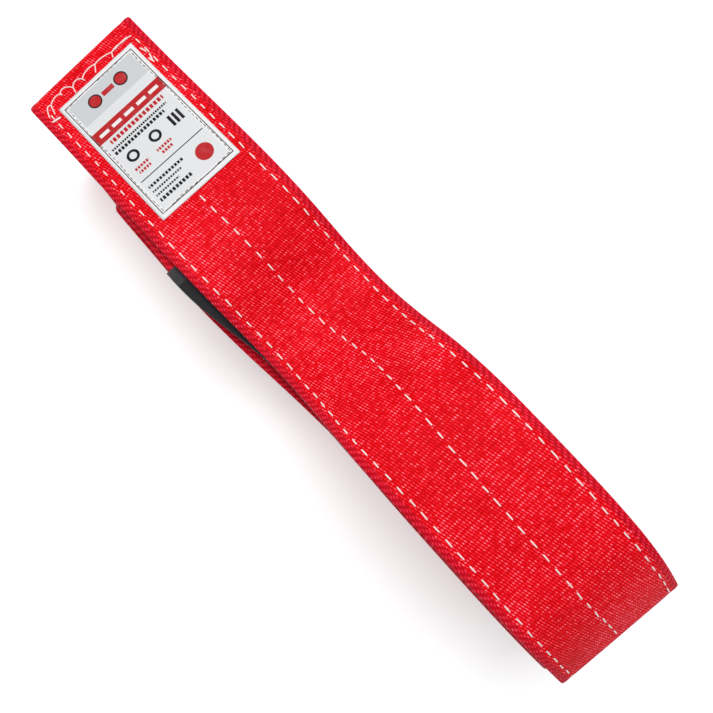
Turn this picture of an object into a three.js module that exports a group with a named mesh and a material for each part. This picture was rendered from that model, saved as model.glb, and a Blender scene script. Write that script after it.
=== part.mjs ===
// A two-ply webbing tow strap with an eye at each end, folded to and fro into a long bundle.
// Millimetres, +Z up. X runs along the bundle from the labelled end, Y across the webbing.
import * as THREE from 'three';

// Webbing
const webbing_width = 76.2;
const ply = 2.5;                  // one layer of webbing; the body is two, sewn together
const strap_length = 6100;        // from the bearing point of one eye to that of the other
const turn_gap = 0.6;             // clear space between turns that lie on one another

// Eyes, and the black sleeves round their bearing ends
const eye_length = 300;
const crotch_to_fold = 8;         // the plies part this far before the labelled fold
const leg_gap = 0.6;              // between the two bare legs of an eye
const tip_radius = 4.2;           // to the middle of the webbing where it turns round the eye's end
const sleeve_reach = 158;         // how far a sleeve comes back from the eye's end
const sleeve_wall = 0.9;
const sleeve_clearance = 0.3;     // between the sleeve and the webbing inside it
const sleeve_side_room = 0.9;     // between the webbing's edges and the sleeve
const sleeve_gap = 0.3;           // between the two sleeved legs of one eye
const spread_length = 38;         // over which the legs part to make room for the sleeve
const hem_room = 4;               // the legs are fully parted this far before the sleeve's hem
const tip_room = 1;               // extra clear space over and under the end of the folded eye

// Label sewn on the uppermost turn
const label_length = 95;
const label_width = 54.7;
const label_start = 12;           // from the folded end to the label
const label_thickness = 0.6;
const label_offset = 1;           // its middle lies this far to the side of the webbing's
const label_clearance = 0.3;

// How the bundle lies
const turns = 14;                 // the last one, on the floor, ends in the second eye
const bundle_length = 419;        // along the top turn, from fold to fold
const valley_height = 91;         // middle of the top turn at its lowest point, over the floor
const lower_fold_x = 77;          // near fold of the second turn, which shows past the top one
const far_inset = 6;              // the hidden far folds stop this much short of the top one
const last_crotch_inset = 50;     // the second eye starts this far from the far folds
const drape_length = 40;          // over which the second turn drops off the end of the first eye
const run_step = 12;              // one straight step along a turn
const crotch_step = 4;            // the last straight step before the plies part
const fold_steps = 7;             // steps round a fold

// Route of the top turn: places along the bundle and heights over the valley
const top_route = [
  [-10, -0.4], [0, 0], [30, 2.4], [59, 7.7], [88, 13.6], [118, 17.4], [133, 17], [148, 14.2],
  [162, 9], [175, 3.2], [190, 0], [204, 0.4], [218, 5], [230, 13], [241, 23], [251, 33],
  [263, 42], [277, 48.5], [291, 51.6], [306, 52.8], [336, 54], [351, 53.8], [366, 52],
  [381, 48.2], [394, 42.2], [407, 34.3], [419, 25.1], [430, 16],
];
// How far the upper turns and the first eye have slipped sideways, along the bundle
const top_slip = [[-10, -1.7], [60, -0.8], [120, 0], [190, 0.9], [260, 1.4], [310, 1.4], [360, 1], [430, 0]];
const eye_slip = [[-10, -1.5], [40, -0.5], [80, -1.5], [110, -4], [128, -5], [146, -4.6], [165, -2],
  [185, 0.8], [220, 1.4], [430, 1]];
const second_slip = [[-10, -4], [76, -4.5], [105, -5.4], [125, -6.2], [148, -6.9], [165, -6.8],
  [181, -6.2], [205, -4.4], [229, -2.3], [250, -0.6], [280, 0], [430, 0]];
const hidden_slip = 2;            // the turns below swing this far to either side
const slip_wave = 120;            // along a turn, for each radian of that swing
const slip_phase = 2.4;           // radians from one turn's swing to the next one's
// Degrees by which the top turn tilts across its width; the tilt fades out towards the floor
const top_tilt = [[-10, 3.5], [0, 3], [60, 0.6], [118, -1], [190, -1.8], [240, -0.6], [277, 1.8],
  [306, 4], [336, 6], [366, 7.5], [430, 7.5]];

const half_width = webbing_width / 2;
const thick = 2 * ply;
const sleeve_skin = sleeve_wall + sleeve_clearance;
const bare_bore = leg_gap / 2;
const sleeved_bore = sleeve_gap / 2 + sleeve_skin;
const tip_bore = tip_radius - ply / 2;
const eye_reach = eye_length - tip_bore;
const sleeve_hem = eye_length - sleeve_reach;

const { lerp, smoothstep } = THREE.MathUtils;

// A smooth curve through hand-set pairs, as a function of the first number
function curve_through(pairs) {
  const track = new THREE.CubicInterpolant(pairs.map((pair) => pair[0]), pairs.map((pair) => pair[1]), 1);
  return (x) => track.evaluate(x)[0];
}

const reading = 0.5;              // half the length over which a slope is read
const slope = (height, x) => (height(x + reading) - height(x - reading)) / (2 * reading);
const slant = (height, x) => Math.hypot(1, slope(height, x));

const top_rise = curve_through(top_route);
const top = (x) => valley_height + top_rise(x);

// Distance from the middle of an eye to the inner faces of its legs, by the distance from its crotch
function eye_bore(along) {
  const parted = lerp(bare_bore, sleeved_bore, smoothstep(along, sleeve_hem - spread_length, sleeve_hem - hem_room));
  return lerp(parted, tip_bore, smoothstep(along, eye_reach - spread_length, eye_reach));
}

// The same distance to the outside of the eye, sleeve included
function eye_half(along) {
  const skin = sleeve_skin * smoothstep(along, sleeve_hem - spread_length, sleeve_hem - hem_room);
  return eye_bore(along) + ply + skin;
}

// Distance along the top turn from the labelled fold, and the place reached after a distance
const mark_step = 2;
const marks = [0];
while (marks.length * mark_step < bundle_length + 2 * mark_step) {
  const x = (marks.length - 0.5) * mark_step;
  marks.push(marks[marks.length - 1] + mark_step * slant(top, x));
}
const top_length = (x) => lerp(marks[Math.floor(x / mark_step)], marks[Math.ceil(x / mark_step)], (x / mark_step) % 1);
function top_place(length) {
  const after = marks.findIndex((mark) => mark > length);
  const share = (length - marks[after - 1]) / (marks[after] - marks[after - 1]);
  return (after - 1 + share) * mark_step;
}

// The first eye is folded under the top turn, and the second turn lies under both
const first_spacing = ply + turn_gap + bare_bore + ply;
const first_fold_length = crotch_to_fold + Math.PI * first_spacing / 2;
const first_eye_along = (x) => first_fold_length + top_length(Math.max(x, 0));
const first_tip_x = top_place(eye_reach - first_fold_length);
const first_end = (x) => 1 - smoothstep(x, first_tip_x + tip_radius, first_tip_x + tip_radius + drape_length);
const tip_share = (x) => smoothstep(first_eye_along(x), eye_reach - spread_length, eye_reach);
const first_half = (x) => eye_half(Math.min(first_eye_along(x), eye_reach)) + tip_room * tip_share(x);
const under_top = (x) => top(x) - (ply + turn_gap + first_half(x)) * slant(top, x);
const second_drop = (x) => thick + turn_gap + (2 * first_half(x) + turn_gap) * first_end(x);
const second = (x) => top(x) - second_drop(x) * slant(top, x);

// The last turn lies on the floor, and most of it is the second eye
const last_crotch_x = bundle_length - last_crotch_inset;
const last_tip_x = last_crotch_x - eye_reach;
const last_along = (x) => Math.min(last_crotch_x - x, eye_reach);
const bottom = (x) => (x > last_crotch_x ? ply : eye_half(last_along(x)));
const above_bottom = (x) => 2 * bottom(x) + turn_gap + ply;

// Middle of any turn: the ones between share the space evenly
function turn_height(turn) {
  if (turn === 1) {
    return top;
  }
  if (turn === turns) {
    return bottom;
  }
  const share = (turns - 1 - turn) / (turns - 3);
  return (x) => lerp(above_bottom(x), second(x), share);
}

const top_side = curve_through(top_slip);
const second_side = curve_through(second_slip);
const first_eye_side = curve_through(eye_slip);
function turn_side(turn, x) {
  if (turn === 1) {
    return top_side(x);
  }
  return turn === 2 ? second_side(x) : hidden_slip * Math.sin(turn * slip_phase + x / slip_wave);
}

// A place on the strap: where its middle is, which way it runs and how thick it is there
const station = (x, z, side, half, bore = 0) => ({ x, z, side, half, bore });

// Stations of one turn between two places, ends included
function run(height, from, to, make) {
  const steps = Math.max(2, Math.round(Math.abs(to - from) / run_step));
  return Array.from({ length: steps + 1 }, (_, step) => {
    const x = lerp(from, to, step / steps);
    return make(x, height(x));
  });
}

// Half a turn from one place to another, bulging to the given side along X
function fold(start, end, bulge) {
  const middle = new THREE.Vector2((start.x + end.x) / 2, (start.z + end.z) / 2);
  const arm = new THREE.Vector2(start.x - middle.x, start.z - middle.y);
  const out = new THREE.Vector2(arm.y, -arm.x).multiplyScalar(Math.sign(arm.y) * bulge);
  const steps = Array.from({ length: fold_steps - 1 }, (_, step) => (step + 1) / fold_steps);
  return steps.map((share) => {
    const angle = Math.PI * share;
    const x = middle.x + arm.x * Math.cos(angle) + out.x * Math.sin(angle);
    const z = middle.y + arm.y * Math.cos(angle) + out.y * Math.sin(angle);
    return station(x, z, lerp(start.side, end.side, share), lerp(start.half, end.half, share),
      lerp(start.bore, end.bore, share));
  });
}

// The place on the next turn straight across from this one
function across(turn, x) {
  const fall = turn_height(turn)(x) - turn_height(turn + 1)(x);
  const tilt = Math.atan(slope(turn_height(turn), x));
  return x + fall * Math.sin(tilt) * Math.cos(tilt);
}

const body_station = (turn) => (x, z) => station(x, z, turn_side(turn, x), ply);

// The whole strap from the end of the first eye to the end of the second
function strap_route(near_x) {
  const first_eye = run(under_top, first_tip_x, 0, (x, z) => {
    const along = first_eye_along(x);
    return station(x, z, first_eye_side(x), eye_bore(along) + ply, eye_bore(along));
  });
  const top_run = run(top, crotch_to_fold, bundle_length, body_station(1));
  const first_leg = station(0, top(0), top_side(0), bare_bore + ply, bare_bore);
  const stations = [...first_eye, ...fold(first_eye[first_eye.length - 1], first_leg, -1), first_leg, ...top_run];
  let from = bundle_length;
  for (let turn = 2; turn < turns; turn += 1) {
    const start = across(turn - 1, from);
    const far_x = bundle_length - far_inset;
    const near = turn === 2 ? lower_fold_x : near_x;
    const to = turn % 2 === 0 ? near : far_x;
    const next = run(turn_height(turn), start, to, body_station(turn));
    stations.push(...fold(stations[stations.length - 1], next[0], turn % 2 === 0 ? 1 : -1), ...next);
    from = to;
  }
  const last_body = run(bottom, across(turns - 1, from), last_crotch_x + crotch_step / 2, body_station(turns));
  const last_eye = run(bottom, last_crotch_x - crotch_step / 2, last_tip_x, (x, z) => {
    const along = last_along(x);
    return station(x, z, turn_side(turns, x), eye_bore(along) + ply, eye_bore(along));
  });
  stations.push(...fold(stations[stations.length - 1], last_body[0], 1), ...last_body, ...last_eye);
  return stations;
}

function route_length(stations) {
  const steps = stations.slice(1).map((place, index) => (
    Math.hypot(place.x - stations[index].x, place.z - stations[index].z)));
  return steps.reduce((sum, step) => sum + step, 2 * tip_bore);
}

// The hidden near folds lie where they bring the strap to its full length
const hidden_near_ends = turns - 4;
const settling_rounds = 3;
let near_fold_x = lower_fold_x;
for (let round = 0; round < settling_rounds; round += 1) {
  near_fold_x += (route_length(strap_route(near_fold_x)) - strap_length) / hidden_near_ends;
}
const stations = strap_route(near_fold_x);

// Unit normals to the left of the route
function normals_of(places) {
  return places.map((place, index) => {
    const before = places[Math.max(index - 1, 0)];
    const after = places[Math.min(index + 1, places.length - 1)];
    const run_x = after.x - before.x;
    const run_z = after.z - before.z;
    const size = Math.hypot(run_x, run_z);
    return new THREE.Vector2(-run_z / size, run_x / size);
  });
}

// One face of the strap, at a distance to the left of the route
function face_line(places, distance) {
  const normals = normals_of(places);
  return places.map((place, index) => {
    const reach = distance(place);
    return { x: place.x + normals[index].x * reach, z: place.z + normals[index].y * reach, side: place.side };
  });
}

// Round end of an eye, from its left face to its right face, beyond the last place
function tip_line(places, distance) {
  const end = places[places.length - 1];
  const normal = normals_of(places)[places.length - 1];
  const steps = Array.from({ length: fold_steps - 1 }, (_, step) => Math.PI * (step + 1) / fold_steps);
  return steps.map((angle) => {
    const across_part = Math.cos(angle) * distance(end);
    const ahead_part = Math.sin(angle) * distance(end);
    return {
      x: end.x + normal.x * across_part + normal.y * ahead_part,
      z: end.z + normal.y * across_part - normal.x * ahead_part,
      side: end.side,
    };
  });
}

const tilt_at = curve_through(top_tilt);

// A closed solid from its corners and faces, leaning to the side as the bundle does
function leaning_solid(positions, index) {
  const geometry = new THREE.BufferGeometry();
  geometry.setAttribute('position', new THREE.Float32BufferAttribute(positions, 3));
  geometry.setIndex(index);
  const corners = geometry.attributes.position;
  for (let corner = 0; corner < corners.count; corner += 1) {
    const [x, y, z] = [corners.getX(corner), corners.getY(corner), corners.getZ(corner)];
    const lean = Math.tan(THREE.MathUtils.degToRad(tilt_at(x)));
    corners.setZ(corner, z + y * lean * z / top(x));
  }
  geometry.computeVertexNormals();
  return geometry;
}

// A solid across the webbing with this outline, seen from the side, and these openings
function crosswise_solid(outline, openings, width, middle = 0) {
  const rings = [outline, ...openings].map((ring, index) => {
    const clockwise = THREE.ShapeUtils.isClockWise(ring.map((point) => new THREE.Vector2(point.x, point.z)));
    return clockwise === (index > 0) ? ring : [...ring].reverse();
  });
  const points = rings.flat();
  const flat = rings.map((ring) => ring.map((point) => new THREE.Vector2(point.x, point.z)));
  const caps = THREE.ShapeUtils.triangulateShape(flat[0], flat.slice(1));
  const positions = [-1, 1].flatMap((end) => (
    points.flatMap((point) => [point.x, middle + point.side + end * width / 2, point.z])));
  const count = points.length;
  const index = caps.flatMap(([a, b, c]) => [a, b, c, count + c, count + b, count + a]);
  let first = 0;
  rings.forEach((ring) => {
    ring.forEach((_, step) => {
      const here = first + step;
      const next = first + (step + 1) % ring.length;
      index.push(here, count + here, count + next, here, count + next, next);
    });
    first += ring.length;
  });
  return leaning_solid(positions, index);
}

// The webbing: body and both eyes in one piece
function webbing_geometry() {
  const reversed = [...stations].reverse();
  const outer = (place) => place.half;
  const outline = [
    ...face_line(stations, outer), ...tip_line(stations, outer),
    ...face_line(reversed, outer), ...tip_line(reversed, outer),
  ];
  const eyes = [stations, reversed].map((route) => {
    const start = route.findLastIndex((place) => place.bore === 0) + 1;
    const eye = route.slice(start);
    const inner = (place) => place.bore;
    const crotch = route[start - 1];
    return [
      { x: crotch.x, z: crotch.z, side: crotch.side },
      ...face_line(eye, inner), ...tip_line(eye, inner), ...face_line([...eye].reverse(), inner),
    ];
  });
  return crosswise_solid(outline, eyes, webbing_width);
}

// A sleeve round the bearing end of an eye: the route of the webbing inside it, leg to leg
function sleeve_geometry(route) {
  const start = route.findLastIndex((place) => place.bore === 0) + 1;
  const eye = route.slice(start);
  let left = 0;
  const reach = [...eye].reverse().findIndex((place, index, places) => {
    left += index > 0 ? Math.hypot(place.x - places[index - 1].x, place.z - places[index - 1].z) : tip_radius;
    return left > sleeve_reach;
  });
  const covered = eye.slice(eye.length - reach);
  const middle = (place) => place.bore + ply / 2;
  const legs = [
    ...face_line(covered, middle), ...tip_line(covered, middle), ...face_line([...covered].reverse(), middle),
  ];
  const normals = normals_of(legs);
  const section = (wall) => [[-1, -1], [1, -1], [1, 1], [-1, 1]].map(([over_sign, up_sign]) => [
    over_sign * (half_width + sleeve_side_room + wall), up_sign * (ply / 2 + sleeve_clearance + wall),
  ]);
  const loops = [section(sleeve_wall), section(0)];
  const positions = legs.flatMap((place, index) => loops.flat().flatMap(([over, up]) => (
    [place.x + normals[index].x * up, place.side + over, place.z + normals[index].y * up])));
  const corners = 4;
  const ring = 2 * corners;
  const index = [];
  const quad = (a, b, c, d) => index.push(a, b, c, a, c, d);
  for (let corner = 0; corner < corners; corner += 1) {
    const next = (corner + 1) % corners;
    for (let leg = 0; leg < legs.length - 1; leg += 1) {
      const here = leg * ring;
      const ahead = here + ring;
      quad(here + corner, here + next, ahead + next, ahead + corner);
      quad(here + corners + next, here + corners + corner, ahead + corners + corner, ahead + corners + next);
    }
    const last = (legs.length - 1) * ring;
    quad(next, corner, corners + corner, corners + next);
    quad(last + corner, last + next, last + corners + next, last + corners + corner);
  }
  return leaning_solid(positions, index);
}

// The label: a thin sheet that follows the top turn
function label_geometry() {
  const ends = [label_start, label_start + label_length].map(top_place);
  const under = run(top, ends[0], ends[1], body_station(1));
  const low = ply + label_clearance;
  const outline = [
    ...face_line(under, () => low), ...face_line(under, () => low + label_thickness).reverse(),
  ];
  return crosswise_solid(outline, [], label_width, label_offset);
}

const cloth = (color, roughness) => new THREE.MeshStandardMaterial({ color, roughness, metalness: 0 });
const red_webbing = cloth(0xc9142a, 0.75);
const black_cloth = cloth(0x16161a, 0.85);
const white_print = cloth(0xe9ebec, 0.5);

function piece(name, geometry, material) {
  const mesh = new THREE.Mesh(geometry, material);
  mesh.name = name;
  return mesh;
}

const strap = new THREE.Group();
strap.add(piece('webbing', webbing_geometry(), red_webbing));
strap.add(piece('first_eye_sleeve', sleeve_geometry([...stations].reverse()), black_cloth));
strap.add(piece('second_eye_sleeve', sleeve_geometry(stations), black_cloth));
strap.add(piece('label', label_geometry(), white_print));

// The origin is the middle of the underside
const extent = new THREE.Box3().setFromObject(strap);
const centre = extent.getCenter(new THREE.Vector3());
strap.position.set(-centre.x, -centre.y, -extent.min.z);

export default strap;
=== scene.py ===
# %% [markdown]
# # A folded tow strap
#
# The object is a flat red towing strap: two plies of woven polyester webbing, sewn together with
# three rows of white thread. Each end is an eye, where the plies part, and a black cloth sleeve
# guards the eye's end. The strap lies folded to and fro into a long bundle, with a printed label
# on the uppermost turn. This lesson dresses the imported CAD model: it lays every piece along the
# same route as the solids, and gives each one the weave, thread or print of the real thing.

# %% Load the frame
import math
import random
from bisect import bisect_right
from collections import namedtuple

import bmesh
import bpy
from mathutils import Matrix, Vector


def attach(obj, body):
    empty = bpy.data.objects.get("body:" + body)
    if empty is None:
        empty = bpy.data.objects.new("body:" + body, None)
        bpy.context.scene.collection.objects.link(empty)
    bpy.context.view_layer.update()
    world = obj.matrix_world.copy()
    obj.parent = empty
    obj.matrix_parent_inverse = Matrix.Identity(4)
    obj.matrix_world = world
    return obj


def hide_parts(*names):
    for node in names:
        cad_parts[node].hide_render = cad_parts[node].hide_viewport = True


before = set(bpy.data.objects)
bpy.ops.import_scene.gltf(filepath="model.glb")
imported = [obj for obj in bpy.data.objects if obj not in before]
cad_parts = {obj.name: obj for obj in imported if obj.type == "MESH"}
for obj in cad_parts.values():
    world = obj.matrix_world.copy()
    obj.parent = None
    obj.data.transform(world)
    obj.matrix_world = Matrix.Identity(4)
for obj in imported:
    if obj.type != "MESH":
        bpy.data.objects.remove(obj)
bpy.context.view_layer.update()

# %% [markdown]
# The camera comes first, because everything after it is judged through it. The photograph was
# taken from almost straight overhead, with the strap running from the upper left to the lower
# right. The camera's place and lens were solved from the strap's known width.

# %% Camera
camera_data = bpy.data.cameras.new("camera")
camera_data.lens = 35.81
camera_data.sensor_width = 36.0
camera_data.clip_start = 0.01
camera = bpy.data.objects.new("camera", camera_data)
bpy.context.scene.collection.objects.link(camera)
bpy.context.scene.camera = camera

camera_place = Vector((0.0355, -0.0149, 0.4787))
elevation, azimuth = math.radians(86.408), math.radians(137.048)
ahead = Vector((math.cos(elevation) * math.cos(azimuth), math.cos(elevation) * math.sin(azimuth),
                -math.sin(elevation)))
right = Vector((math.sin(azimuth), -math.cos(azimuth), 0))
turned = Matrix((right, right.cross(ahead), -ahead)).transposed().to_4x4()
camera.matrix_world = Matrix.Translation(camera_place) @ turned
print("Camera at", tuple(round(value, 4) for value in camera.location))

# %% [markdown]
# The strap's measures are written in millimetres and only turned into metres when a point is
# placed. The numbers are the ones that the CAD source uses, so that the dressed webbing lies in
# the same space as its solid. The squeeze at the sleeves and the tightening at the two ends are the
# scene's own: they draw the cloth in by a few millimetres, as the photograph shows it.

# %% Measures of the strap
MM = 0.001
WEBBING_WIDTH = 76.2
PLY = 2.5
TURN_GAP = 0.6
EYE_LENGTH = 300
CROTCH_TO_FOLD = 8
LEG_GAP = 0.6
TIP_RADIUS = 4.2
SLEEVE_REACH = 158
SLEEVE_WALL = 0.9
SLEEVE_CLEARANCE = 0.3
SLEEVE_SIDE_ROOM = 0.9
SLEEVE_GAP = 0.3
SPREAD_LENGTH = 38
HEM_ROOM = 4
TIP_ROOM = 1
TURNS = 14
BUNDLE_LENGTH = 419
VALLEY_HEIGHT = 91
LOWER_FOLD_X = 77
FAR_INSET = 6
LAST_CROTCH_INSET = 50
DRAPE_LENGTH = 40
NEAR_FOLD_X = 3.33
SLEEVE_SQUEEZE = 1.6
SQUEEZED_SHARE = 0.6
NEAR_TIGHTENING, NEAR_TIGHT_FROM, NEAR_TIGHT_TO = 3.2, -6, 24
FAR_TIGHTENING, FAR_TIGHT_BEFORE, FAR_TIGHT_PAST = 2.6, 30, 5
MIDDLE_X, MIDDLE_Y = 208.469, -1.770

HALF_WIDTH = WEBBING_WIDTH / 2
SLEEVE_SKIN = SLEEVE_WALL + SLEEVE_CLEARANCE
BARE_BORE = LEG_GAP / 2
SLEEVED_BORE = SLEEVE_GAP / 2 + SLEEVE_SKIN
TIP_BORE = TIP_RADIUS - PLY / 2
EYE_REACH = EYE_LENGTH - TIP_BORE
SLEEVE_HEM = EYE_LENGTH - SLEEVE_REACH
print("Eye reach:", EYE_REACH, "mm; sleeve starts at", SLEEVE_HEM, "mm")

# %% [markdown]
# A folded strap has no straight lines. The top turn rises over the label, dips into a valley and
# climbs over a crest, so its height is a smooth curve through a few listed points. The same kind
# of curve says how far the turns slipped sideways and how the bundle tilts.

# %% Smooth curves
def lerp(start, end, share):
    return start + (end - start) * share


def smoothstep(value, low, high):
    share = min(max((value - low) / (high - low), 0), 1)
    return share * share * (3 - 2 * share)


def curve_through(pairs):
    """A cubic through the pairs, whose slope at each pair follows its two neighbours."""
    marks = [pair[0] for pair in pairs]
    heights = [pair[1] for pair in pairs]

    def value(x):
        x = min(max(x, marks[0]), marks[-1])
        right_end = min(max(bisect_right(marks, x), 1), len(marks) - 1)
        left_end = right_end - 1
        before = left_end - 1 if left_end > 0 else right_end
        after = right_end + 1 if right_end < len(marks) - 1 else left_end
        step = marks[right_end] - marks[left_end]
        pull_before = 0.5 * step / (marks[left_end] - marks[before])
        pull_after = 0.5 * step / (marks[after] - marks[right_end])
        p = (x - marks[left_end]) / step
        return (heights[before] * (-pull_before * p**3 + 2 * pull_before * p**2 - pull_before * p)
                + heights[left_end] * ((1 + pull_before) * p**3 + (-1.5 - 2 * pull_before) * p**2
                                       + (-0.5 + pull_before) * p + 1)
                + heights[right_end] * ((-1 - pull_after) * p**3 + (1.5 + pull_after) * p**2 + 0.5 * p)
                + heights[after] * (pull_after * p**3 - pull_after * p**2))
    return value


top_rise = curve_through([
    (-10, -0.4), (0, 0), (30, 2.4), (59, 7.7), (88, 13.6), (118, 17.4), (133, 17), (148, 14.2),
    (162, 9), (175, 3.2), (190, 0), (204, 0.4), (218, 5), (230, 13), (241, 23), (251, 33),
    (263, 42), (277, 48.5), (291, 51.6), (306, 52.8), (336, 54), (351, 53.8), (366, 52),
    (381, 48.2), (394, 42.2), (407, 34.3), (419, 25.1), (430, 16)])
top_side = curve_through([
    (-10, -1.7), (60, -0.8), (120, 0), (190, 0.9), (260, 1.4), (310, 1.4), (360, 1), (430, 0)])
eye_side = curve_through([
    (-10, -1.5), (40, -0.5), (80, -2), (110, -5), (128, -6.4), (146, -6), (165, -3.4), (185, -0.6),
    (200, 0.7), (220, 0.9), (430, 0.9)])
second_side = curve_through([
    (-10, -4), (76, -4.5), (105, -5.4), (125, -6.2), (148, -6.9), (165, -6.8), (181, -6.2),
    (205, -4.4), (229, -2.3), (250, -0.6), (280, 0), (430, 0)])
tilt_at = curve_through([
    (-10, 3.5), (0, 3), (60, 0.6), (118, -1), (190, -1.8), (240, -0.6), (277, 1.8), (306, 4),
    (336, 6), (366, 7.5), (430, 7.5)])


def top(x):
    return VALLEY_HEIGHT + top_rise(x)


def slope(height, x, reading=0.5):
    return (height(x + reading) - height(x - reading)) / (2 * reading)


def slant(height, x):
    return math.hypot(1, slope(height, x))


VALLEY_X, CREST_X = 190, 336
print("Top turn at the valley and crest:", round(top(VALLEY_X), 1), round(top(CREST_X), 1), "mm")

# %% [markdown]
# An eye is a loop: its two legs part, leave room for the sleeve's cloth between them and turn round
# the end. The first eye is folded under the labelled turn, and the second lies on the floor under
# the whole bundle. The turns between share the height evenly.

# %% Heights of the turns
def sleeved(along):
    """0 where an eye's legs are bare and 1 where the sleeve has them."""
    return smoothstep(along, SLEEVE_HEM - SPREAD_LENGTH, SLEEVE_HEM - HEM_ROOM)


def eye_bore(along):
    """From the middle of an eye to the inner faces of its legs."""
    parted = lerp(BARE_BORE, SLEEVED_BORE, sleeved(along))
    return lerp(parted, TIP_BORE, smoothstep(along, EYE_REACH - SPREAD_LENGTH, EYE_REACH))


def eye_half(along):
    """From the middle of an eye to its outside, sleeve included."""
    return eye_bore(along) + PLY + SLEEVE_SKIN * sleeved(along)


MARK_STEP = 2
marks = [0.0]
while len(marks) * MARK_STEP < BUNDLE_LENGTH + 2 * MARK_STEP:
    marks.append(marks[-1] + MARK_STEP * slant(top, (len(marks) - 0.5) * MARK_STEP))


def top_length(x):
    """Distance along the top turn from the labelled fold."""
    return lerp(marks[math.floor(x / MARK_STEP)], marks[math.ceil(x / MARK_STEP)], (x / MARK_STEP) % 1)


def top_place(length):
    """The place on the top turn after a distance along it."""
    after = bisect_right(marks, length)
    share = (length - marks[after - 1]) / (marks[after] - marks[after - 1])
    return (after - 1 + share) * MARK_STEP


FIRST_SPACING = PLY + TURN_GAP + BARE_BORE + PLY
FIRST_FOLD_LENGTH = CROTCH_TO_FOLD + math.pi * FIRST_SPACING / 2


def first_eye_along(x):
    return FIRST_FOLD_LENGTH + top_length(max(x, 0))


FIRST_TIP_X = top_place(EYE_REACH - FIRST_FOLD_LENGTH)


def first_half(x):
    near_tip = smoothstep(first_eye_along(x), EYE_REACH - SPREAD_LENGTH, EYE_REACH)
    return eye_half(min(first_eye_along(x), EYE_REACH)) + TIP_ROOM * near_tip


def under_top(x):
    return top(x) - (PLY + TURN_GAP + first_half(x)) * slant(top, x)


def second(x):
    over_eye = 1 - smoothstep(x, FIRST_TIP_X + TIP_RADIUS, FIRST_TIP_X + TIP_RADIUS + DRAPE_LENGTH)
    drop = 2 * PLY + TURN_GAP + (2 * first_half(x) + TURN_GAP) * over_eye
    return top(x) - drop * slant(top, x)


LAST_CROTCH_X = BUNDLE_LENGTH - LAST_CROTCH_INSET
LAST_TIP_X = LAST_CROTCH_X - EYE_REACH


def last_along(x):
    return min(LAST_CROTCH_X - x, EYE_REACH)


def bottom(x):
    return PLY if x > LAST_CROTCH_X else eye_half(last_along(x))


def turn_height(turn):
    if turn == 1:
        return top
    if turn == TURNS:
        return bottom
    share = (TURNS - 1 - turn) / (TURNS - 3)
    return lambda x: lerp(2 * bottom(x) + TURN_GAP + PLY, second(x), share)


SWAY, SWAY_TURN, SWAY_LENGTH = 2, 2.4, 120


def turn_side(turn, x):
    """How far a turn has slipped sideways."""
    if turn == 1:
        return top_side(x)
    return second_side(x) if turn == 2 else SWAY * math.sin(turn * SWAY_TURN + x / SWAY_LENGTH)


print("First eye ends at x", round(FIRST_TIP_X, 1), "and the last one at", round(LAST_TIP_X, 1))

# %% [markdown]
# With the heights known, the strap is walked from the end of one eye to the end of the other. The
# top turn is what the camera sees, so it gets short steps, and the turns under it get longer ones.
# Each fold is half a circle from one turn to the next.

# %% Route of the strap
Place = namedtuple("Place", "x z side half bore")
FINE_STEP, EYE_STEP, PLAIN_STEP, FOLD_STEPS = 1.6, 5, 9, 10
CROTCH_EASE = 2


def run(height, start, end, make, step=PLAIN_STEP):
    """Places along a turn, from start to end."""
    steps = max(2, round(abs(end - start) / step))
    return [make(x, height(x)) for x in (lerp(start, end, index / steps) for index in range(steps + 1))]


def fold(start, end, bulge):
    """Places round a fold between two turns, to +X where the bulge is 1 and to -X where it is -1."""
    middle = ((start.x + end.x) / 2, (start.z + end.z) / 2)
    arm = (start.x - middle[0], start.z - middle[1])
    reach = math.copysign(bulge, arm[1] * bulge)
    out = (arm[1] * reach, -arm[0] * reach)
    places = []
    for index in range(1, FOLD_STEPS):
        share = index / FOLD_STEPS
        c, s = math.cos(math.pi * share), math.sin(math.pi * share)
        places.append(Place(middle[0] + arm[0] * c + out[0] * s, middle[1] + arm[1] * c + out[1] * s,
                            lerp(start.side, end.side, share), lerp(start.half, end.half, share),
                            lerp(start.bore, end.bore, share)))
    return places


def body_place(turn):
    return lambda x, z: Place(x, z, turn_side(turn, x), PLY, 0)


def eye_place(side, along):
    return lambda x, z: Place(x, z, side(x), eye_bore(along(x)) + PLY, eye_bore(along(x)))


def across(turn, x):
    """Where the turn below starts, straight across from the end of this one."""
    fall = turn_height(turn)(x) - turn_height(turn + 1)(x)
    tilt = math.atan(slope(turn_height(turn), x))
    return x + fall * math.sin(tilt) * math.cos(tilt)


def first_eye_places():
    return run(under_top, FIRST_TIP_X, 0, eye_place(eye_side, first_eye_along), EYE_STEP)


def strap_route():
    first_eye = first_eye_places()
    leg = Place(0, top(0), top_side(0), BARE_BORE + PLY, BARE_BORE)
    route = first_eye + fold(first_eye[-1], leg, -1) + [leg]
    route += run(top, CROTCH_TO_FOLD, BUNDLE_LENGTH, body_place(1), FINE_STEP)
    reached = BUNDLE_LENGTH
    for turn in range(2, TURNS):
        near = LOWER_FOLD_X if turn == 2 else NEAR_FOLD_X
        goal = near if turn % 2 == 0 else BUNDLE_LENGTH - FAR_INSET
        following = run(turn_height(turn), across(turn - 1, reached), goal, body_place(turn))
        route += fold(route[-1], following[0], 1 if turn % 2 == 0 else -1) + following
        reached = goal
    last_body = run(bottom, across(TURNS - 1, reached), LAST_CROTCH_X + CROTCH_EASE,
                    body_place(TURNS))
    route += fold(route[-1], last_body[0], 1) + last_body
    last_eye = eye_place(lambda x: turn_side(TURNS, x), last_along)
    return route + run(bottom, LAST_CROTCH_X - CROTCH_EASE, LAST_TIP_X, last_eye, EYE_STEP)


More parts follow.
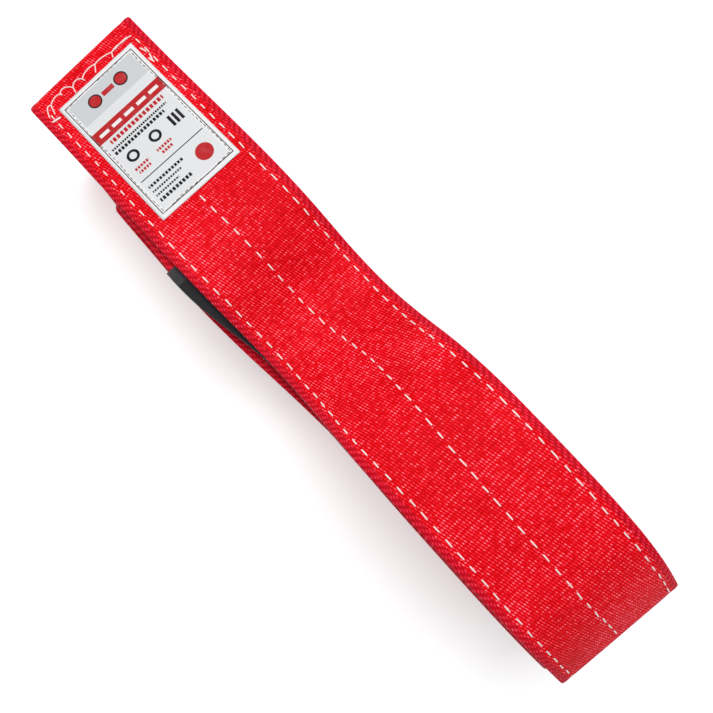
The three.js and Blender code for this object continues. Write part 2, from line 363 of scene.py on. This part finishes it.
route = strap_route()
route_length = sum(math.dist(a[:2], b[:2]) for a, b in zip(route, route[1:])) + 2 * TIP_BORE
print(len(route), "places on a route of", round(route_length), "mm")

# %% [markdown]
# Both plies are one endless band: it runs along one face of the strap, round an eye, back along the
# other face and round the other eye. So the webbing is modelled as the real one is made, one ply
# thick, and the two plies can be told apart at the edges.

# %% The band that both plies make
def normals_of(places):
    """The upward normal at each place, as seen from the side."""
    normals = []
    for index in range(len(places)):
        before, after = places[max(index - 1, 0)], places[min(index + 1, len(places) - 1)]
        size = math.hypot(after.x - before.x, after.z - before.z)
        normals.append((-(after.z - before.z) / size, (after.x - before.x) / size))
    return normals


Spot = namedtuple("Spot", "x z side wide")


def width_share(place):
    """The webbing narrows a little where its legs part for the sleeve, which draws it in."""
    narrowest = lerp(BARE_BORE, SLEEVED_BORE, SQUEEZED_SHARE)
    return 1 - SLEEVE_SQUEEZE / HALF_WIDTH * smoothstep(place.bore, BARE_BORE, narrowest)


def face_line(places, distance):
    """Spots along one face of the strap."""
    return [Spot(place.x + normal[0] * distance(place), place.z + normal[1] * distance(place), place.side,
                 width_share(place)) for place, normal in zip(places, normals_of(places))]


def tip_line(places, distance):
    """Spots round the end of an eye."""
    end, normal = places[-1], normals_of(places)[-1]
    spots = []
    for index in range(1, FOLD_STEPS):
        angle = math.pi * index / FOLD_STEPS
        over, on = math.cos(angle) * distance(end), math.sin(angle) * distance(end)
        spots.append(Spot(end.x + normal[0] * over + normal[1] * on,
                          end.z + normal[1] * over - normal[0] * on, end.side, width_share(end)))
    return spots


def ply_middle(place):
    return place.bore + PLY / 2


class Line:
    """A line of spots with lengths along it, on which things can be laid."""
    def __init__(self, spots, closed):
        self.spots = spots
        self.closed = closed
        self.lengths = [0.0]
        ring = spots + spots[:1] if closed else spots
        for here, there in zip(ring, ring[1:]):
            self.lengths.append(self.lengths[-1] + math.dist(here[:2], there[:2]))
        count = len(spots)
        self.normals = []
        for index in range(count):
            before = spots[index - 1] if index or closed else spots[0]
            after = spots[(index + 1) % count] if index < count - 1 or closed else spots[-1]
            size = math.hypot(after.x - before.x, after.z - before.z)
            self.normals.append((-(after.z - before.z) / size, (after.x - before.x) / size))

    def at(self, length, over, up):
        """The point at a length along the line, across it and up from it."""
        index = min(max(bisect_right(self.lengths, length) - 1, 0), len(self.lengths) - 2)
        following = (index + 1) % len(self.spots)
        share = (length - self.lengths[index]) / (self.lengths[index + 1] - self.lengths[index])
        here, there = self.spots[index], self.spots[following]
        normal = [lerp(a, b, share) for a, b in zip(self.normals[index], self.normals[following])]
        return laid(lerp(here.x, there.x, share) + normal[0] * up,
                    lerp(here.side, there.side, share) + over,
                    lerp(here.z, there.z, share) + normal[1] * up)

    def place(self, index, over, up):
        spot, normal = self.spots[index % len(self.spots)], self.normals[index % len(self.spots)]
        return laid(spot.x + normal[0] * up, spot.side + over, spot.z + normal[1] * up)


def laid(x, y, z):
    """A point of the route, leaning as the bundle does and tightened at its ends, in the part's metres."""
    lean = math.tan(math.radians(tilt_at(x)))
    near = NEAR_TIGHTENING * (1 - smoothstep(x, NEAR_TIGHT_FROM, NEAR_TIGHT_TO))
    far = FAR_TIGHTENING * smoothstep(x, BUNDLE_LENGTH - FAR_TIGHT_BEFORE, BUNDLE_LENGTH + FAR_TIGHT_PAST)
    return Vector(((x + near - far - MIDDLE_X) * MM, (y - MIDDLE_Y) * MM, (z + y * lean * z / top(x)) * MM))


there_and_back = [route, route[::-1]]
band = Line([spot for way in there_and_back
             for spot in face_line(way, ply_middle) + tip_line(way, ply_middle)], closed=True)
print("The band is", round(band.lengths[-1]), "mm long, in", len(band.spots), "steps")

# %% [markdown]
# A flat grid is laid out first and then wrapped: one direction goes round the webbing's section and
# the other along the route. This keeps the count of faces under control and gives the weave a map
# in real measures. The section is a little thinner where the thread pulls it down, and its edges
# are round, because the yarn turns back there.

# %% Wrap a grid
def wrapped_grid(name, columns, rows, point, mark, map_name="weave"):
    """A grid whose corner (column, row) goes to point(column, row), and whose map is mark(column, row)."""
    shape = bmesh.new()
    bmesh.ops.create_grid(shape, x_segments=columns, y_segments=rows, size=1)
    corner = {vert: (round((vert.co.x + 1) / 2 * columns), round((vert.co.y + 1) / 2 * rows))
              for vert in shape.verts}
    weave = shape.loops.layers.uv.new(map_name)
    for face in shape.faces:
        for loop in face.loops:
            loop[weave].uv = mark(*corner[loop.vert])
        face.smooth = True
    for vert, place in corner.items():
        vert.co = point(*place)
    bmesh.ops.remove_doubles(shape, verts=shape.verts, dist=1e-7)
    bmesh.ops.recalc_face_normals(shape, faces=shape.faces)
    return finished(name, shape)


def finished(name, shape):
    mesh = bpy.data.meshes.new(name)
    shape.to_mesh(mesh)
    shape.free()
    piece = bpy.data.objects.new(name, mesh)
    bpy.context.scene.collection.objects.link(piece)
    return piece


OUTER = [(0, 1.25), (9, 1.25), (18, 1.25), (26, 1.23), (29.9, 1.16), (31.8, 1.0), (33.6, 1.16),
         (35.6, 1.2), (37.1, 1.0), (37.8, 0.6)]
INNER_UP = 1.2
outer_side = [(-over, up) for over, up in OUTER[:0:-1]] + OUTER
inner_side = [(over, -min(up, INNER_UP)) for over, up in outer_side][::-1]
section = outer_side + [(HALF_WIDTH, 0)] + inner_side + [(-HALF_WIDTH, 0)]
print("Section of", len(section), "points")

# %% Webbing
def webbing_point(column, row):
    over, up = section[row % len(section)]
    return band.place(column, over * band.spots[column % len(band.spots)].wide, up)


def webbing_mark(column, row):
    return band.lengths[column] * MM, section[row % len(section)][0] * MM


webbing = wrapped_grid("strap_webbing", len(band.spots), len(section), webbing_point, webbing_mark)
print("Webbing:", len(webbing.data.polygons), "faces")

# %% [markdown]
# A sleeve is a flat tube of black cloth round the webbing of an eye's end. It is wrapped as an open
# tube, with a turned hem at both mouths that is a little thicker, and a Solidify modifier gives the
# cloth its thickness inwards.

# %% Sleeves
HEM_WIDTH, HEM_RISE = 9, 0.15
SLEEVE_CORNER = 1.1
FLAT_PLACES = (-24, -8, 8, 24)


def sleeve(name, places):
    covered, left = [], TIP_RADIUS
    for index in range(len(places) - 1, 0, -1):
        covered.insert(0, places[index])
        left += math.dist(places[index][:2], places[index - 1][:2])
        if left > SLEEVE_REACH:
            break
    legs = Line(face_line(covered, ply_middle) + tip_line(covered, ply_middle)
                + face_line(covered[::-1], ply_middle), closed=False)
    half_over = HALF_WIDTH - SLEEVE_SQUEEZE + SLEEVE_SIDE_ROOM + SLEEVE_WALL
    half_up = PLY / 2 + SLEEVE_CLEARANCE + SLEEVE_WALL
    quarter = [(half_over - SLEEVE_CORNER * (1 - math.sin(turn)),
                half_up - SLEEVE_CORNER * (1 - math.cos(turn)))
               for turn in (0, math.pi / 6, math.pi / 3, math.pi / 2)]
    flat = [(over, half_up) for over in FLAT_PLACES]
    upper = [(-over, up) for over, up in quarter[::-1]] + flat + quarter
    ring = upper + [(-over, -up) for over, up in upper]

    def point(column, row):
        over, up = ring[row % len(ring)]
        from_mouth = min(legs.lengths[column], legs.lengths[-1] - legs.lengths[column])
        rise = HEM_RISE * (1 - smoothstep(from_mouth, HEM_WIDTH - 1, HEM_WIDTH + 1))
        return legs.place(column, over, up + math.copysign(rise, up))

    def mark(column, row):
        return legs.lengths[column] * MM, ring[row % len(ring)][0] * MM

    piece = wrapped_grid(name, len(legs.spots) - 1, len(ring), point, mark)
    wall = piece.modifiers.new("wall", "SOLIDIFY")
    wall.thickness = SLEEVE_WALL * MM
    wall.offset = -1
    print(name, "is", round(legs.lengths[-1]), "mm long")
    return piece


first_sleeve = sleeve("first_sleeve_cloth", route[::-1])
second_sleeve = sleeve("second_sleeve_cloth", route)

# %% [markdown]
# The label is a thin coated sheet, sewn on near the fold. It follows the webbing's curve, and a real
# sewn label puckers a little between its stitches, so a slow ripple lifts its rim.

# %% Label
LABEL_LENGTH, LABEL_WIDTH, LABEL_START, LABEL_OFFSET = 95, 54.7, 12, 1
LABEL_TOP, SHEET_THICKNESS = 0.65, 0.35
LABEL_COLUMNS, LABEL_ROWS = 80, 32
RIPPLE, RIPPLE_FACES, SWELL = 0.16, 4, 0.1

crotch_spot = len(first_eye_places()) + FOLD_STEPS
FOLD_AT = band.lengths[crotch_spot] - top_length(CROTCH_TO_FOLD)


def on_top(along, over, up):
    """A point over the top turn, by the distance from the labelled fold."""
    return band.at(FOLD_AT + along, over, PLY / 2 + up)


def label_point(column, row):
    along = LABEL_START + LABEL_LENGTH * column / LABEL_COLUMNS
    over = LABEL_OFFSET + LABEL_WIDTH * (row / LABEL_ROWS - 0.5)
    to_rim = min(column, LABEL_COLUMNS - column, row, LABEL_ROWS - row) / RIPPLE_FACES
    ripple = RIPPLE * math.sin(along * 1.1) * math.sin(over * 0.5) * max(1 - to_rim, 0)
    swell = SWELL * math.sin(along / 9 + over / 14)
    return on_top(along, over, LABEL_TOP + ripple + swell)


def label_mark(column, row):
    return LABEL_LENGTH * column / LABEL_COLUMNS * MM, LABEL_WIDTH * (row / LABEL_ROWS - 0.5) * MM


label = wrapped_grid("printed_label", LABEL_COLUMNS, LABEL_ROWS, label_point, label_mark, "print")
if label.data.polygons[0].normal.z < 0:
    label.data.flip_normals()
sheet = label.modifiers.new("sheet", "SOLIDIFY")
sheet.thickness = SHEET_THICKNESS * MM
sheet.offset = -1
print("Label:", len(label.data.polygons), "faces")

# %% [markdown]
# The thread is white, and each stitch shows as a dash of about 5 mm where it runs over the
# webbing. A stitch is a small round grain, stretched and laid along the face, so the dashes
# follow every fold. The same grain serves for thousands of stitches, so it has few faces.

# %% Grain of thread
STITCH_PITCH, STITCH_LENGTH, THREAD_WIDTH, THREAD_RISE = 8.3, 5.0, 0.84, 0.32
STITCH_SINK, STITCH_TAPER = 0.05, 0.35
SEAM_INSET = 31.8
Stitch = namedtuple("Stitch", "along over half_length half_width turn rise")
random.seed(7)


def thread_grain(segments=6, rings=4):
    """A stitch along X, two units long and wide, with blunt ends."""
    shape = bmesh.new()
    bmesh.ops.create_uvsphere(shape, u_segments=segments, v_segments=rings, radius=1,
                              matrix=Matrix.Rotation(math.pi / 2, 4, "Y"))
    for vert in shape.verts:
        if 0.1 < abs(vert.co.x) < 0.9:
            vert.co = (math.copysign(0.8, vert.co.x), vert.co.y * 1.25, vert.co.z * 1.25)
    mesh = bpy.data.meshes.new("thread_grain")
    shape.to_mesh(mesh)
    shape.free()
    return mesh


grain = thread_grain()


def laid_stitches(name, stitches, point):
    """One piece of all the stitches, each bent along the face that point() gives."""
    shape = bmesh.new()
    for _ in stitches:
        shape.from_mesh(grain)
    shape.verts.ensure_lookup_table()
    size = len(grain.vertices)
    for number, stitch in enumerate(stitches):
        c, s = math.cos(stitch.turn), math.sin(stitch.turn)
        for vert in shape.verts[number * size:(number + 1) * size]:
            ahead, aside = vert.co.x * stitch.half_length, vert.co.y * stitch.half_width
            taper = 1 - STITCH_TAPER * vert.co.x**2
            height = stitch.rise * taper * (vert.co.z / 2 + 0.5) - STITCH_SINK
            vert.co = point(stitch.along + ahead * c - aside * s,
                            stitch.over + ahead * s + aside * c, height)
    for face in shape.faces:
        face.smooth = True
    bmesh.ops.recalc_face_normals(shape, faces=shape.faces)
    print(name, "has", len(stitches), "stitches")
    return finished(name, shape)


# %% [markdown]
# Two rows run close to the edges and one down the middle. The middle row wanders, because the
# strap is guided by hand at the machine. The rows end where the plies part for the eyes.

# %% Seams of the body
centre_seam = curve_through([
    (0, -2.6), (106, -3.4), (152, -2.1), (200, -1.7), (232, 2.6), (265, 1), (300, -1.4), (350, -2.8),
    (392, -2.6), (412, -1), (430, -1)])
EDGE_WANDER, EDGE_WAVE = 0.35, 23
HIDDEN_WANDER, HIDDEN_WAVE, BACK_WAVE = 1.5, 90, 70


def over_face(along, over, up):
    return band.at(along, over, PLY / 2 + up)


def seam_stitches(start, end, centre):
    stitches = []
    for seam in (-SEAM_INSET, 0, SEAM_INSET):
        along = start + random.uniform(1, 4) + STITCH_LENGTH / 2
        while along < end - STITCH_LENGTH / 2:
            edge_wander = EDGE_WANDER * math.sin(along / EDGE_WAVE + seam)
            wander = centre(along) if seam == 0 else edge_wander
            half = STITCH_LENGTH / 2 * random.uniform(0.84, 1.1)
            stitches.append(Stitch(along, seam + wander + random.uniform(-0.2, 0.2), half, THREAD_WIDTH / 2,
                                   random.uniform(-0.06, 0.03), THREAD_RISE))
            along += STITCH_PITCH * random.uniform(0.95, 1.05)
    return stitches


def centre_out(along):
    if along > FOLD_AT + top_length(BUNDLE_LENGTH):
        return HIDDEN_WANDER * math.sin(along / HIDDEN_WAVE)
    return centre_seam(band.spots[bisect_right(band.lengths, along) - 1].x)


def centre_back(along):
    return HIDDEN_WANDER * math.sin(along / BACK_WAVE)


body_length = sum(math.dist(a[:2], b[:2]) for a, b in zip(route, route[1:]) if a.bore == 0 and b.bore == 0)
out_start = band.lengths[crotch_spot]
second_eye_spots = sum(1 for place in route[len(route) // 2:] if place.bore)
back_spot = len(route) + FOLD_STEPS - 1 + second_eye_spots
back_start = band.lengths[back_spot]
seams = (seam_stitches(out_start, out_start + body_length, centre_out)
         + seam_stitches(back_start, back_start + body_length, centre_back))
seam_threads = laid_stitches("seam_threads", seams, over_face)

# %% [markdown]
# At the labelled fold the rows are joined across the strap by a hand-guided line of scallops, with
# short ends of thread that run on to the label. These threads are round wires bent over the
# webbing, so they are curves with a round bevel.

# %% Scallops at the fold
CUSPS = [(8.2, 31.4), (7.4, 17.0), (5.6, 5.6), (6.9, -5.0), (7.0, -12.0), (4.0, -19.6), (5.7, -27.9),
         (11.5, -33.0)]
BULGES = (1.0, 1.1, 1.7, 2.4, 2.7, 1.5, 3.2)
TAILS = [(3.4, -1.4), (4.6, -2.8), (2.0, 0.5), (4.2, -1.0), (1.5, 0.3), (6.4, -1.6)]
ARC_STEPS, ARC_BLUNTNESS = 12, 0.7
SCALLOP_RADIUS, SCALLOP_HEIGHT = 0.36, 0.18


def thread_curve(name, lines, radius):
    curve = bpy.data.curves.new(name, "CURVE")
    curve.dimensions = "3D"
    curve.bevel_depth = radius * MM
    curve.bevel_resolution = 2
    curve.use_fill_caps = True
    for line in lines:
        spline = curve.splines.new("POLY")
        spline.points.add(len(line) - 1)
        for knot, place in zip(spline.points, line):
            knot.co = (*place, 1)
    piece = bpy.data.objects.new(name, curve)
    bpy.context.scene.collection.objects.link(piece)
    return piece


def arc(start, end, bulge):
    shares = [step / ARC_STEPS for step in range(ARC_STEPS + 1)]
    return [on_top(lerp(start[0], end[0], share) - bulge * math.sin(math.pi * share)**ARC_BLUNTNESS,
                   lerp(start[1], end[1], share), SCALLOP_HEIGHT) for share in shares]


def tail(start, length, aside):
    return [on_top(start[0] + length * share, start[1] + aside * share, SCALLOP_HEIGHT)
            for share in (0, 0.3, 0.7, 1)]


scallop_lines = [arc(here, there, bulge) for here, there, bulge in zip(CUSPS, CUSPS[1:], BULGES)]
scallop_lines += [tail(cusp, *reach) for cusp, reach in zip(CUSPS[1:], TAILS)]
scallops = thread_curve("scallop_threads", scallop_lines, SCALLOP_RADIUS)
tacks = [Stitch(7.0, 26.6, 3.0, 0.8, 1.5, 0.4), Stitch(6.8, 20.6, 2.6, 0.8, 1.65, 0.4),
         Stitch(15.6, -31.0, 3.0, 0.8, 1.35, 0.4), Stitch(20.5, 30.6, 2.6, 0.5, 0.3, 0.35),
         Stitch(27.0, 31.0, 2.6, 0.5, -0.3, 0.35), Stitch(28.6, 30.0, 2.4, 0.5, 0.2, 0.35)]
fold_tacks = laid_stitches("fold_tacks", tacks, on_top)
print("Scallops:", len(scallop_lines), "lines of thread")

# %% [markdown]
# The label is sewn on with a finer thread, close to its rim. The machine ran a little crooked, so the
# row wanders, and each stitch sinks into the sheet.

# %% Seam of the label
LABEL_SEAM_INSET, LABEL_STITCH, LABEL_PITCH = 3.4, 2.3, 3.3
LABEL_THREAD_WIDTH, LABEL_THREAD_RISE, CROOKED = 0.48, 0.22, 0.12


def rim_stitch(along, over, turn):
    return Stitch(along, over, LABEL_STITCH / 2, LABEL_THREAD_WIDTH / 2,
                  turn + random.uniform(-CROOKED, CROOKED), LABEL_THREAD_RISE)


def rim_stitches():
    stitches = []
    low, high = LABEL_START + LABEL_SEAM_INSET, LABEL_START + LABEL_LENGTH - LABEL_SEAM_INSET
    half = LABEL_WIDTH / 2 - LABEL_SEAM_INSET
    for side in (-1, 1):
        along = low
        while along < high:
            wander = 0.35 * math.sin(along / 7 + side)
            stitches.append(rim_stitch(along, LABEL_OFFSET + side * half + wander, 0))
            along += LABEL_PITCH * random.uniform(0.9, 1.1)
        over = LABEL_OFFSET - half
        while over < LABEL_OFFSET + half:
            along = (low if side < 0 else high) + 0.4 * math.sin(over / 5)
            stitches.append(rim_stitch(along, over, math.pi / 2))
            over += LABEL_PITCH * random.uniform(0.9, 1.1)
    return stitches


def on_sheet(along, over, up):
    return on_top(along, over, LABEL_TOP + up + 0.04)


label_seam = laid_stitches("label_seam", rim_stitches(), on_sheet)

# %% [markdown]
# A shader is a small sum: which yarn is on top here, and how bright is it. Written as nodes by hand
# that sum is hard to read, so a small class wraps a socket, and plain arithmetic on it adds the
# Math nodes.

# %% Shader arithmetic
class Value:
    """One number of a shader, on which arithmetic adds Math nodes."""
    def __init__(self, finish, socket):
        self.finish, self.socket = finish, socket

    def math(self, operation, *others):
        numbers = dict(enumerate((self, *others)))
        return self.finish.node("ShaderNodeMath", {"operation": operation}, numbers)

    def __add__(self, other):
        return self.math("ADD", other)

    def __sub__(self, other):
        return self.math("SUBTRACT", other)

    def __mul__(self, other):
        return self.math("MULTIPLY", other)

    def __truediv__(self, other):
        return self.math("DIVIDE", other)

    def __pow__(self, other):
        return self.math("POWER", other)

    def __rsub__(self, other):
        return self.math("MULTIPLY", -1).math("ADD", other)

    def __lt__(self, other):
        return self.math("LESS_THAN", other)

    def __gt__(self, other):
        return self.math("GREATER_THAN", other)

    __radd__, __rmul__ = __add__, __mul__

    def __abs__(self):
        return self.math("ABSOLUTE")

    def wave(self):
        """From 0 to 1 and back, once for each whole number."""
        return (self * (2 * math.pi)).math("COSINE") * 0.5 + 0.5


class Finish:
    """A material, and the one method that adds its nodes."""
    def __init__(self, name, **constants):
        self.material = bpy.data.materials.new(name)
        self.material.use_nodes = True
        self.tree = self.material.node_tree
        self.shader = self.tree.nodes["Principled BSDF"]
        for socket, value in constants.items():
            self.shader.inputs[socket.replace("_", " ")].default_value = value

    def node(self, kind, settings=None, inputs=None, output=0):
        """A new node with its settings and inputs, of which one output is given back."""
        node = self.tree.nodes.new(kind)
        for name, value in (settings or {}).items():
            if name == "stops":
                while len(node.color_ramp.elements) < len(value):
                    node.color_ramp.elements.new(0.5)
                for element, (place, colour) in zip(node.color_ramp.elements, value):
                    element.position, element.color = place, (*colour, 1)
            else:
                setattr(node, name, value)
        for name, value in (inputs or {}).items():
            self.give(node.inputs[name], value)
        return Value(self, node.outputs[output])

    def give(self, socket, value):
        """Links the socket if the value is a Value, and sets it if it is a constant."""
        if isinstance(value, Value):
            self.tree.links.new(value.socket, socket)
        else:
            socket.default_value = value

    def map(self, name):
        """Millimetres along and across, from the piece's own map."""
        place = self.node("ShaderNodeUVMap", {"uv_map": name})
        parts = self.node("ShaderNodeSeparateXYZ", inputs={0: place})
        return parts * 1000, Value(self, parts.socket.node.outputs[1]) * 1000

    def noise(self, scale, detail=2):
        place = self.node("ShaderNodeTexCoord", output="Object")
        return self.node("ShaderNodeTexNoise", inputs={"Vector": place, "Scale": scale, "Detail": detail})

    def mix(self, share, low, high):
        """From colour low to colour high."""
        return self.node("ShaderNodeMix", {"data_type": "RGBA"}, {0: share, 6: low, 7: high}, output=2)

    def bump(self, height, depth, strength=1.0):
        normal = self.node("ShaderNodeBump", inputs={"Height": height, "Distance": depth * MM,
                                                     "Strength": strength})
        self.give(self.shader.inputs["Normal"], normal)


def rgb(red, green, blue):
    return (red, green, blue, 1)


# %% [markdown]
# Tow webbing is a heavy twill: slanted floats of yarn, held down by rows of weft across the strap.
# Each float is a bright dash, and the slant carries on from row to row, so both patterns come from
# one map. Where a fine noise is high, the floats turn bright pink: painted highlights, the glints of
# the glossy yarn painted into its colour. In the margins the yarn turns back and makes slanted
# ropes, a little darker and deeper in colour.

# %% Red webbing
FLOAT_SLANT, FLOAT_PITCH, ROW_PITCH, RIB_PITCH = 0.27, 1.45, 2.25, 4.5
MARGIN_START, ROPE_WIDTH, ROPE_PITCH = 34.2, 1.5, 4.2
red = Finish("red_polyester_twill", Roughness=0.6, Specular_IOR_Level=0.07, Sheen_Weight=0.16,
             Sheen_Roughness=0.3, Sheen_Tint=rgb(1.0, 0.45, 0.62))
along, aside = red.map("weave")
broad = red.noise(scale=24, detail=3)
# painted highlight: this fine noise places the pink glints of the yarn, and it also jitters the floats and
# ropes
glint_flecks = red.noise(scale=420, detail=2)
lean = along + aside * 0.07 + broad * 2.2
floats = ((aside - along * FLOAT_SLANT + broad * 1.1 + glint_flecks * 0.25) / FLOAT_PITCH).wave()
rows = (lean / ROW_PITCH).wave()
ribs = (lean / RIB_PITCH + 0.25).wave()
margin = abs(aside) > MARGIN_START
ropes = (((abs(aside) * 1.1 - along * 0.32 + glint_flecks * 0.4) / ROPE_WIDTH).wave()
         * ((along + abs(aside)) / ROPE_PITCH).wave())
dash = floats**1.3 * (rows * 0.55 + 0.45)
yarn = dash * (1 - margin) + ropes * 0.85 * margin
# painted highlight: floats where the fleck noise is high reach the pale pink top of the ramp, a painted
# glint
glint_and_weave_level = yarn * (glint_flecks * 2.1 - 0.3) + ribs * 0.04 + (broad - 0.5) * 0.55
tone_with_glints = red.node("ShaderNodeValToRGB", {"stops": [
    (0.0, (0.5, 0.0, 0.002)), (0.2, (0.7, 0.0, 0.004)), (0.45, (0.88, 0.002, 0.014)),
    (0.7, (1.0, 0.05, 0.09)), (1.0, (1.0, 0.3, 0.36))]}, {0: glint_and_weave_level})
edge_tone = red.mix(ropes, rgb(0.36, 0.001, 0.012), rgb(0.88, 0.03, 0.08))
red.give(red.shader.inputs["Base Color"], red.mix(margin * 0.55, tone_with_glints, edge_tone))
red.bump(yarn * 0.7 + ribs * 0.3 + rows * 0.3, depth=0.4, strength=0.8)
print("Red webbing:", len(red.tree.nodes), "nodes")

# %% [markdown]
# The sleeve is plain-woven nylon: threads over and under in both directions, dull and almost black.
# Its turned hem catches the light, so it is a little greyer.

# %% Black cloth
CLOTH_PITCH = 1.3
black = Finish("black_nylon_cloth", Roughness=0.8, Specular_IOR_Level=0.3, Sheen_Weight=0.15,
               Sheen_Roughness=0.5)
along, aside = black.map("weave")
checks = (along / CLOTH_PITCH).wave() * (aside / CLOTH_PITCH).wave() + (
    ((along / CLOTH_PITCH) + 0.5).wave() * ((aside / CLOTH_PITCH) + 0.5).wave())
hem = (along < HEM_WIDTH) * 0.4
cloth_tone = black.node("ShaderNodeValToRGB", {"stops": [
    (0.0, (0.004, 0.004, 0.005)), (0.5, (0.014, 0.014, 0.017)), (1.0, (0.05, 0.05, 0.055))]},
    {0: checks * 0.5 + hem + black.noise(scale=120) * 0.25})
black.give(black.shader.inputs["Base Color"], cloth_tone)
black.bump(checks, depth=0.25, strength=0.8)

# %% [markdown]
# Sewing thread is bonded and twisted, off-white, with a faint pink where it took dye from the
# webbing. The label's thread is finer and greyer.

# %% Threads
white = Finish("white_bonded_thread", Roughness=0.5, Sheen_Weight=0.1)
dye = white.noise(scale=60, detail=2)
white.give(white.shader.inputs["Base Color"], white.mix(dye, rgb(0.84, 0.75, 0.73), rgb(0.86, 0.6, 0.58)))
white.bump(white.noise(scale=2500, detail=1), depth=0.2, strength=0.5)
grey = Finish("grey_pink_thread", Roughness=0.6)
# the label's thread is darker and paler in patches along its length
thread_mottle = grey.noise(scale=150, detail=2)
grey.give(grey.shader.inputs["Base Color"], grey.node("ShaderNodeValToRGB", {"stops": [
    (0.3, (0.03, 0.02, 0.025)), (0.5, (0.2, 0.12, 0.14)), (0.7, (0.5, 0.38, 0.4))]}, {0: thread_mottle}))
grey.bump(grey.noise(scale=2500, detail=1), depth=0.15, strength=0.5)

# %% [markdown]
# The label's own print isn't repeated: plain bars, rings and rules in the same colours stand in for
# it, in a layout of their own. Each mark is a mask: 1 inside it and 0 outside.

# %% Printed label
paper = Finish("printed_sheet", Roughness=0.5, Specular_IOR_Level=0.15)
down, side = paper.map("print")


def box(middle_down, middle_side, half_down, half_side):
    return (abs(down - middle_down) < half_down) * (abs(side - middle_side) < half_side)


def ring(middle_down, middle_side, inner, outer):
    reach = ((down - middle_down)**2 + (side - middle_side)**2)**0.5
    return (reach < outer) * (reach > inner)


def joined(masks):
    total = masks[0]
    for mask in masks[1:]:
        total = total.math("MAXIMUM", mask)
    return total


def blocks(middle_down, middle_side, half_down, half_side, pitch):
    """A row of short bars, as close as words."""
    return box(middle_down, middle_side, half_down, half_side) * ((side / pitch).wave() > 0.22)


field = box(47.5, 0, 43.2, 23)
head = box(12.5, 0, 8.5, 23)
frame_lines = box(47.5, 0, 44.8, 25.2) - box(47.5, 0, 44.2, 24.7)
red_marks = joined([
    box(31.5, 0, 4.2, 24.7), ring(12.5, -9.5, 0, 3.4), ring(12.5, 9.5, 0, 3.4), box(12.5, 0, 1.5, 4),
    blocks(38.6, 0, 1.4, 19, 2.7), blocks(62, -15, 0.9, 5, 1.9), blocks(65, -15, 0.9, 4, 1.9),
    blocks(62, 1, 0.9, 5, 1.9), blocks(65, 1, 0.9, 4, 1.9), ring(81, 14, 0, 5.2)])
bright_marks = joined([box(31.5, place, 1.1, 3.2) for place in (-18, -9, 0, 9, 18)])
black_marks = joined([
    frame_lines, ring(12.5, -9.5, 3.4, 4.2), ring(12.5, 9.5, 3.4, 4.2),
    blocks(43, -2, 0.7, 20, 1.5), blocks(46, -4, 1.1, 18, 2.3),
    ring(54, -15, 2.2, 3.8), ring(54, 1, 2.2, 3.8), box(54, 16, 3.8, 0.9), box(54, 19, 3.8, 0.9),
    box(54, 13, 3.8, 0.9), box(70, 0, 0.3, 22), blocks(75.5, -9, 0.9, 12, 2.1),
    blocks(79, -11, 0.6, 10, 1.6), blocks(82, -13, 0.6, 8, 1.6), blocks(85.5, -10, 1.1, 11, 2.3)])
soft = paper.noise(scale=220, detail=3)
wear = 0.9 + soft * 0.2
sheet_tone = paper.mix(head, rgb(0.62, 0.63, 0.64), rgb(0.5, 0.52, 0.54))
sheet_tone = paper.mix(1 - field, sheet_tone, rgb(0.7, 0.7, 0.71))
sheet_tone = paper.mix(red_marks * wear, sheet_tone, rgb(0.42, 0.012, 0.016))
sheet_tone = paper.mix(bright_marks, sheet_tone, rgb(0.72, 0.7, 0.7))
sheet_tone = paper.mix(black_marks * wear, sheet_tone, rgb(0.006, 0.006, 0.008))
paper.give(paper.shader.inputs["Base Color"], sheet_tone)
paper.bump(soft, depth=0.15, strength=0.4)
print("Label:", len(paper.tree.nodes), "nodes")

# %% [markdown]
# Every piece rides on the one body, and the CAD nodes that it stands for are hidden. The webbing,
# sleeves and label are sheets of cloth. The band's length counts both plies.

# %% Dress the model
def dress(piece, finish, slot, *nodes):
    piece.data.materials.clear()
    piece.data.materials.append(finish.material)
    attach(piece, "root")
    if nodes:
        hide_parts(*nodes)


dress(webbing, red, "red_webbing", "webbing")
dress(first_sleeve, black, "black_cloth", "first_eye_sleeve")
dress(second_sleeve, black, "black_cloth", "second_eye_sleeve")
dress(label, paper, "label_sheet", "label")
for thread in (seam_threads, scallops, fold_tacks):
    dress(thread, white, "red_webbing")
dress(label_seam, grey, "label_sheet")

# %% [markdown]
# The photograph has a white ground, one large soft light high on the far side of the strap, and a
# faint soft shadow on the near side. A plain world fills the rest, and the floor glows a little,
# which keeps it white and its shadow faint.

# %% Floor and lights
floor_shape = bmesh.new()
bmesh.ops.create_grid(floor_shape, x_segments=1, y_segments=1, size=3)
floor = finished("floor", floor_shape)
pale = Finish("pale_floor", Roughness=0.9, Base_Color=rgb(0.72, 0.75, 0.76), Specular_IOR_Level=0.0,
              Emission_Color=rgb(1, 1, 1), Emission_Strength=0.42)
floor.data.materials.append(pale.material)

key = bpy.data.lights.new("key", "AREA")
key.shape, key.size, key.energy = "DISK", 0.8, 17
key_lamp = bpy.data.objects.new("key", key)
bpy.context.scene.collection.objects.link(key_lamp)
key_lamp.location = (-0.3, 0.34, 1.42)
key_lamp.rotation_euler = (-key_lamp.location).to_track_quat("-Z", "Y").to_euler()
world = bpy.data.worlds.new("studio")
world.use_nodes = True
world.node_tree.nodes["Background"].inputs["Color"].default_value = rgb(1, 1, 1)
world.node_tree.nodes["Background"].inputs["Strength"].default_value = 0.45
bpy.context.scene.world = world
bpy.context.scene.view_settings.view_transform = "Standard"
